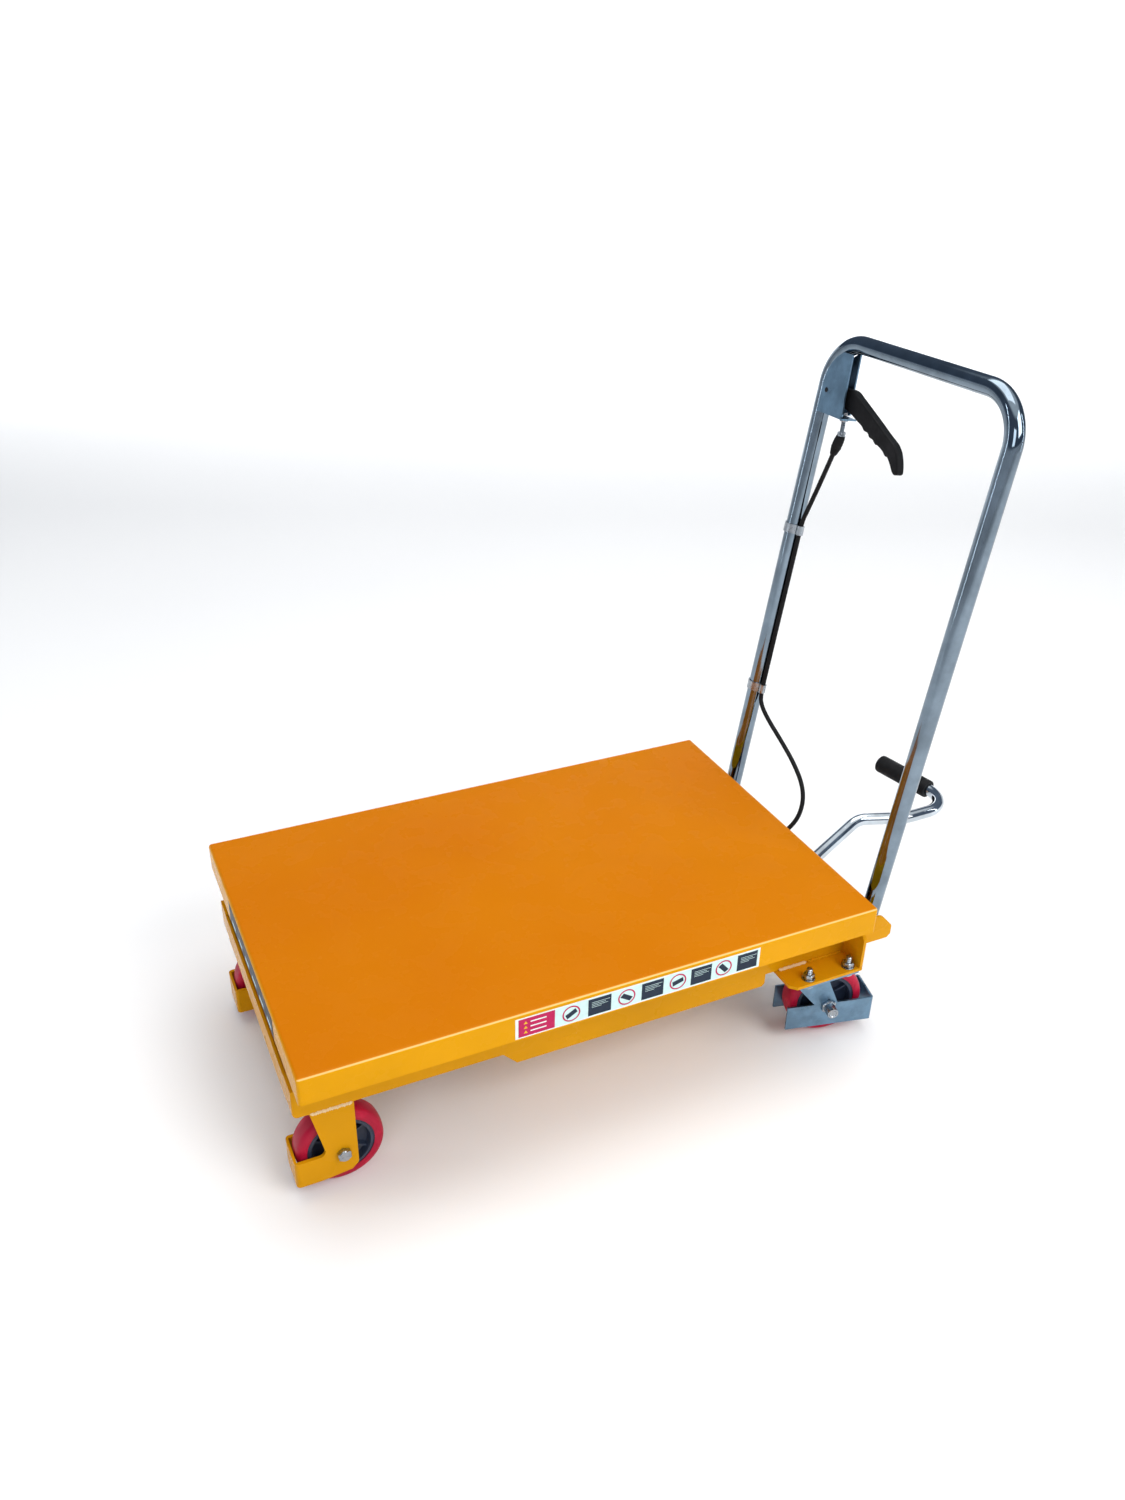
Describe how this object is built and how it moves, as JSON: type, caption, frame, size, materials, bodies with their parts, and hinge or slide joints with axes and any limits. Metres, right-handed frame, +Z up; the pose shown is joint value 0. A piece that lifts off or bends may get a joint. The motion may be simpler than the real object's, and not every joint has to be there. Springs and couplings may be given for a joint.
{
  "type": "scissor lift table cart",
  "caption": "Hand-pushed hydraulic scissor lift table on two fixed and two swivel wheels, with a leaning push handle, a foot pump pedal and a hand release lever.",
  "frame": {"origin": "on the floor, under the middle of the cart's outline", "axes": "+X from the fixed wheels to the push handle, +Y across the cart to the left when pushing with +X behind, +Z up"},
  "size_m": [0.9471, 0.45, 0.8045],
  "materials": {
    "orange_paint": "glossy orange enamel",
    "black_paint": "semi-gloss black enamel",
    "zinc": "bright zinc plate",
    "chrome": "polished chrome plate",
    "steel": "bare machined steel",
    "red_tyre": "smooth crimson polyurethane tread",
    "hub_nylon": "satin dark nylon",
    "black_rubber": "matt black rubber",
    "black_plastic": "satin black plastic"
  },
  "bodies": {
    "base": {"side_member_left": "orange_paint", "side_member_right": "orange_paint", "caster_bracket_left": "orange_paint", "caster_bracket_right": "orange_paint", "front_fork_left": "orange_paint", "front_fork_right": "orange_paint", "front_cross_member": "orange_paint", "pump_tray": "orange_paint", "base_pivot_pins": "steel", "front_axle_bolts": "zinc", "caster_plates": "zinc", "caster_plate_bolts": "zinc", "handle_tube": "chrome", "handle_bolts": "zinc", "lever_housing": "zinc", "lever_pin": "steel", "cable_clips": "zinc", "cable_adjuster": "zinc", "cable_boot": "black_rubber", "release_cable": "black_rubber", "pump_body": "black_paint", "oil_reservoir": "black_paint", "cylinder_pin": "steel"},
    "outer_arms": {"outer_arm_left": "orange_paint", "outer_arm_right": "orange_paint", "outer_cross_tube": "orange_paint", "table_roller_axle": "steel"},
    "inner_arms": {"inner_arm_left": "orange_paint", "inner_arm_right": "orange_paint", "inner_cross_tube": "orange_paint", "centre_pins": "steel", "base_roller_pins": "steel"},
    "table": {"table_top": "orange_paint", "table_rail_left": "orange_paint", "table_rail_right": "orange_paint", "table_pivot_pins": "steel"},
    "cylinder": {"cylinder_barrel": "black_paint"},
    "ram": {"ram": "chrome"},
    "pedal": {"pedal": "chrome", "pedal_sleeve": "black_rubber"},
    "plunger": {"pump_plunger": "steel"},
    "lever": {"release_lever": "black_plastic"},
    "wire": {"release_wire": "steel"},
    "valve": {"valve_arm": "zinc"},
    "table_roller_left": {"table_roller_left": "steel"},
    "base_roller_left": {"base_roller_left": "steel"},
    "front_wheel_left": {"front_tyre_left": "red_tyre", "front_hub_left": "hub_nylon"},
    "caster_left": {"caster_fork_left": "zinc", "caster_axle_left": "zinc"},
    "caster_wheel_left": {"caster_tyre_left": "red_tyre", "caster_hub_left": "hub_nylon"},
    "table_roller_right": {"table_roller_right": "steel"},
    "base_roller_right": {"base_roller_right": "steel"},
    "front_wheel_right": {"front_tyre_right": "red_tyre", "front_hub_right": "hub_nylon"},
    "caster_right": {"caster_fork_right": "zinc", "caster_axle_right": "zinc"},
    "caster_wheel_right": {"caster_tyre_right": "red_tyre", "caster_hub_right": "hub_nylon"}
  },
  "joints": [
    {"name": "lift", "type": "hinge", "parent": "base", "child": "outer_arms", "pos_m": [-0.4395, 0, 0.141], "axis": [0, -1, 0], "range_deg": [0, 55.57]},
    {"name": "scissor_centre", "type": "hinge", "parent": "outer_arms", "child": "inner_arms", "pos_m": [-0.12087, 0, 0.1705], "axis": [0, -1, 0], "range_deg": [-111.2, 0]},
    {"name": "table_pivot", "type": "hinge", "parent": "inner_arms", "child": "table", "pos_m": [-0.4395, 0, 0.2], "axis": [0, -1, 0], "range_deg": [0, 55.7]},
    {"name": "cylinder_pivot", "type": "hinge", "parent": "base", "child": "cylinder", "pos_m": [0.0855, 0, 0.14], "axis": [0, 1, 0], "range_deg": [0, 36.3]},
    {"name": "ram_slide", "type": "slide", "parent": "cylinder", "child": "ram", "axis": [-0.9924, 0, 0.1228], "range_m": [0, 0.246]},
    {"name": "pedal_pivot", "type": "hinge", "parent": "base", "child": "pedal", "pos_m": [0.1425, -0.054, 0.14], "axis": [0, 1, 0], "range_deg": [0, 25], "stiffness_Nm_per_rad": 4, "springref_deg": -40.11},
    {"name": "plunger_slide", "type": "slide", "parent": "base", "child": "plunger", "axis": [-1, 0, 0], "range_m": [0, 0.0095]},
    {"name": "lever_pivot", "type": "hinge", "parent": "base", "child": "lever", "pos_m": [0.35486, 0.1475, 0.733], "axis": [-0.9896, 0, 0.1438], "range_deg": [0, 16], "stiffness_Nm_per_rad": 0.5, "springref_deg": -11.46},
    {"name": "wire_slide", "type": "slide", "parent": "base", "child": "wire", "axis": [0.1431, 0.1003, 0.9846], "range_m": [0, 0.0085]},
    {"name": "valve_pivot", "type": "hinge", "parent": "base", "child": "valve", "pos_m": [0.1155, -0.044, 0.165], "axis": [0, 0, -1], "range_deg": [0, 7.1]},
    {"name": "table_roller_left_spin", "type": "hinge", "parent": "outer_arms", "child": "table_roller_left", "pos_m": [0.19778, 0.161, 0.2], "axis": [0, 1, 0], "continuous": true},
    {"name": "base_roller_left_spin", "type": "hinge", "parent": "inner_arms", "child": "base_roller_left", "pos_m": [0.19778, 0.161, 0.141], "axis": [0, 1, 0], "continuous": true},
    {"name": "front_wheel_left_spin", "type": "hinge", "parent": "base", "child": "front_wheel_left", "pos_m": [-0.4195, 0.153, 0.05], "axis": [0, 1, 0], "continuous": true},
    {"name": "caster_left_swivel", "type": "hinge", "parent": "base", "child": "caster_left", "pos_m": [0.185, 0.161, 0.1], "axis": [0, 0, 1], "continuous": true},
    {"name": "caster_wheel_left_spin", "type": "hinge", "parent": "caster_left", "child": "caster_wheel_left", "pos_m": [0.21259, 0.16577, 0.05], "axis": [-0.1702, 0.9854, 0], "continuous": true},
    {"name": "table_roller_right_spin", "type": "hinge", "parent": "outer_arms", "child": "table_roller_right", "pos_m": [0.19778, -0.161, 0.2], "axis": [0, 1, 0], "continuous": true},
    {"name": "base_roller_right_spin", "type": "hinge", "parent": "inner_arms", "child": "base_roller_right", "pos_m": [0.19778, -0.161, 0.141], "axis": [0, 1, 0], "continuous": true},
    {"name": "front_wheel_right_spin", "type": "hinge", "parent": "base", "child": "front_wheel_right", "pos_m": [-0.4195, -0.153, 0.05], "axis": [0, 1, 0], "continuous": true},
    {"name": "caster_right_swivel", "type": "hinge", "parent": "base", "child": "caster_right", "pos_m": [0.185, -0.161, 0.1], "axis": [0, 0, 1], "continuous": true},
    {"name": "caster_wheel_right_spin", "type": "hinge", "parent": "caster_right", "child": "caster_wheel_right", "pos_m": [0.2123, -0.1672, 0.05], "axis": [0.2215, 0.9751, 0], "continuous": true}
  ],
  "couplings": [
    {"joint": "scissor_centre", "follows": "lift", "ratio": -2},
    {"joint": "table_pivot", "follows": "lift", "ratio": 1},
    {"joint": "cylinder_pivot", "follows": "lift", "ratio": 0.6506},
    {"joint": "ram_slide", "follows": "lift", "m_per_rad": 0.2527},
    {"joint": "plunger_slide", "follows": "pedal_pivot", "m_per_rad": 0.0213},
    {"joint": "wire_slide", "follows": "lever_pivot", "m_per_rad": 0.02865},
    {"joint": "valve_pivot", "follows": "lever_pivot", "ratio": 0.4375}
  ]
}
